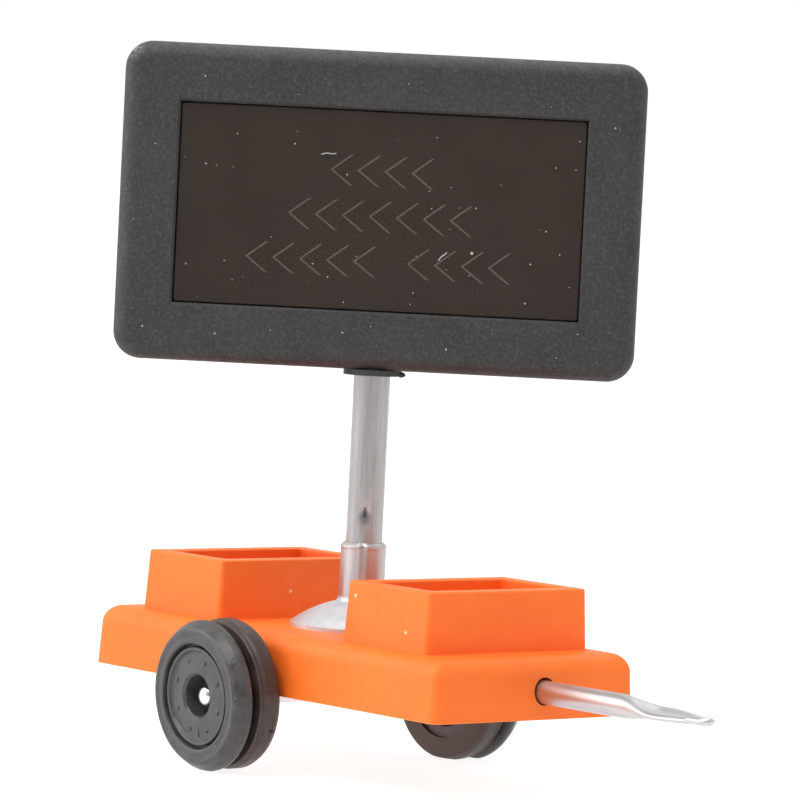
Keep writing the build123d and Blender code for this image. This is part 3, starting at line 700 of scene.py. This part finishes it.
# ================================================================ sign details
# moulding pip beside the mast socket, under the sign
bm = bmesh.new()
socket_z = (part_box("sign_bezel")[0].z - centre("back_cover").z) / MM
blob(bm, SIGN_FRAME @ Matrix.Translation((2.55, socket_z + 0.12, 0.4)), (0.34, 0.24, 0.30), 3, 0.4)
blob(bm, SIGN_FRAME @ Matrix.Translation((1.95, socket_z + 0.06, 0.7)), (0.30, 0.10, 0.22), 4, 0.4)
finish_piece("socket_pips", bm, "casing_plastic", "sign")

# smoked pane, its back held a hair in front of the mask so that the two don't share a face:
# half width, half height and distance in front of the sign's middle
PANE_CORNER_R = 0.3
PANE_STEPS = [
    (18.50, 9.60, 1.16), (18.55, 9.65, 1.21), (18.55, 9.65, 1.64), (18.50, 9.60, 1.69),
    (17.50, 8.60, 1.69), (17.50, 8.60, 2.54), (17.44, 8.54, 2.60),
]
bm = bmesh.new()
loops = []
for half_x, half_y, height in PANE_STEPS:
    turns = ((1, 1), (-1, 1), (-1, -1), (1, -1))
    edge = rounded([(x * half_x, y * half_y, PANE_CORNER_R) for x, y in turns])
    loops.append([bm.verts.new(SIGN_FRAME @ Vector((p.x, p.y, height))) for p in edge])
count = len(loops[0])
for here, there in zip(loops, loops[1:]):
    for k in range(count):
        bm.faces.new((here[k], here[(k + 1) % count], there[(k + 1) % count], there[k]))
bm.faces.new(reversed(loops[0]))
bm.faces.new(loops[-1])
finish_piece("pane_detail", bm, "smoked_pane", "sign", ["display_window"], 20)

# dust grains and two stray fibres on the face: (x, y, depth below the face, radius)
PANE_DEPTH = 0.4
GRAINS = [
    (8.1, -3.2, PANE_DEPTH, 0.13), (13.2, -3.9, PANE_DEPTH, 0.07), (12.9, -7.3, PANE_DEPTH, 0.07),
    (-15.2, 3.4, PANE_DEPTH, 0.06), (-12.6, 6.1, PANE_DEPTH, 0.05), (14.4, -1.0, PANE_DEPTH, 0.06),
    (4.6, 6.6, PANE_DEPTH, 0.05), (16.9, 6.9, PANE_DEPTH, 0.05), (-15.6, 10.9, 0, 0.07),
    (-20.0, -10.9, 0, 0.08), (19.9, 8.2, 0, 0.07), (6.3, -11.6, 0, 0.08), (-2.7, -10.6, 0, 0.07),
]
dust = random.Random(20)
for _ in range(56):
    x, y = dust.uniform(-20.6, 20.6), dust.uniform(-11.9, 11.9)
    in_window = abs(x) < 17.2 and abs(y) < 8.3
    if in_window or abs(x) > 18.2 or abs(y) > 9.4:
        GRAINS.append((x, y, PANE_DEPTH if in_window else 0, dust.uniform(0.025, 0.055)))
bm = bmesh.new()
for number, (x, y, depth, radius) in enumerate(GRAINS):
    spot = SIGN_FRAME @ Matrix.Translation((x, y, SIGN_FRONT - depth + 0.2 * radius))
    blob(bm, spot, (radius, radius, radius * 0.7), 100 + number, 0.5)
for start, heading, length in (((-5.2, 4.7), 8, 1.1), ((5.3, -3.9), 48, 0.9)):
    across = math.radians(heading)
    step = Vector((math.cos(across), math.sin(across), 0)) * length / 6
    for k in range(7):
        bend = 0.06 * math.sin(k * 0.9)
        spot = Vector((start[0], start[1] + bend, SIGN_FRONT - PANE_DEPTH + 0.04)) + step * k
        turned = Matrix.Translation(spot) @ Matrix.Rotation(across, 4, "Z")
        blob(bm, SIGN_FRAME @ turned, (length / 9, 0.045, 0.04), 300 + k, 0.3)
finish_piece("face_dust", bm, "dust", "sign")

# ================================================================ floor, light and camera
scene = bpy.context.scene
scene.view_settings.view_transform = "Standard"

FLOOR_HALF = 4.0
bm = bmesh.new()
corners = ((-1, -1), (1, -1), (1, 1), (-1, 1))
bm.faces.new([bm.verts.new((x * FLOOR_HALF, y * FLOOR_HALF, 0)) for x, y in corners])
floor_mesh = bpy.data.meshes.new("floor")
bm.to_mesh(floor_mesh)
bm.free()
floor = bpy.data.objects.new("floor", floor_mesh)
scene.collection.objects.link(floor)
floor_look = Surface("floor_look", Roughness=0.9, Emission_Strength=0.88)
floor_look.feed(floor_look.shader.inputs["Emission Color"], rgb(1, 1, 1))
floor_look.colour(rgb(0.26, 0.26, 0.26))
floor_mesh.materials.append(floor_look.material)

CAMERA_AZIMUTH = math.radians(49.69)
CAMERA_ELEVATION = math.radians(2.91)
CAMERA_ROLL = math.radians(2.9)
CAMERA_DISTANCE = 430.0
CAMERA_LENS = 222.4
AIM_RIGHT = 2.52
AIM_ABOVE_DECK = 20.04

back = Vector(
    (
        math.sin(CAMERA_AZIMUTH) * math.cos(CAMERA_ELEVATION),
        -math.cos(CAMERA_AZIMUTH) * math.cos(CAMERA_ELEVATION),
        math.sin(CAMERA_ELEVATION),
    )
)
right = Vector((math.cos(CAMERA_AZIMUTH), math.sin(CAMERA_AZIMUTH), 0))
above = back.cross(right)
axes = Matrix((right, above, back)).transposed().to_4x4()
aim = MAST_AXIS.to_3d() + right * AIM_RIGHT * MM + Vector((0, 0, DECK_TOP_Z + AIM_ABOVE_DECK * MM))
camera = bpy.data.objects.new("camera", bpy.data.cameras.new("camera"))
camera.data.lens = CAMERA_LENS
camera.data.clip_start = 0.01
camera.matrix_world = (
    Matrix.Translation(aim + back * CAMERA_DISTANCE * MM) @ axes @ Matrix.Rotation(CAMERA_ROLL, 4, "Z")
)
scene.collection.objects.link(camera)
scene.camera = camera


def softbox(name, direction, distance, size, power, tint=(1, 1, 1)):
    """Square studio light that faces the object from a direction. Lengths are in metres."""
    light = bpy.data.lights.new(name, "AREA")
    light.size = size
    light.energy = power
    light.color = tint
    lamp = bpy.data.objects.new(name, light)
    towards = Vector(direction).normalized()
    lamp.location = Vector((0, 0, 0.03)) + towards * distance
    lamp.rotation_mode = "QUATERNION"
    lamp.rotation_quaternion = towards.to_track_quat("Z", "Y")
    lamp.visible_camera = False
    scene.collection.objects.link(lamp)


softbox("key_left", (-0.62, -0.70, 0.42), 0.60, 0.45, 1.6)
softbox("key_top", (0.10, -0.575, 0.81), 0.60, 0.25, 1.8)
softbox("top_light", (-0.15, 0.25, 1.0), 0.60, 0.50, 1.6)

# surroundings: a white room with a dim side where the photographer stands
DIM_DIRECTION = back
world = bpy.data.worlds.new("studio")
scene.world = world
world.use_nodes = True
tree = world.node_tree
background = tree.nodes["Background"]
coords = tree.nodes.new("ShaderNodeTexCoord")
facing = tree.nodes.new("ShaderNodeVectorMath")
facing.operation = "DOT_PRODUCT"
facing.inputs[1].default_value = DIM_DIRECTION
dimming = tree.nodes.new("ShaderNodeMapRange")
dimming.interpolation_type = "SMOOTHSTEP"
dimming.inputs["From Min"].default_value = 0.35
dimming.inputs["From Max"].default_value = 0.95
dimming.inputs["To Min"].default_value = 0.90
dimming.inputs["To Max"].default_value = 0.30
rays = tree.nodes.new("ShaderNodeLightPath")
brightness = tree.nodes.new("ShaderNodeMix")
brightness.inputs[3].default_value = 1.0
tree.links.new(coords.outputs["Generated"], facing.inputs[0])
tree.links.new(facing.outputs["Value"], dimming.inputs["Value"])
tree.links.new(rays.outputs["Is Camera Ray"], brightness.inputs[0])
tree.links.new(dimming.outputs["Result"], brightness.inputs[2])
tree.links.new(brightness.outputs[0], background.inputs["Strength"])
background.inputs["Color"].default_value = rgb(1, 1, 1)
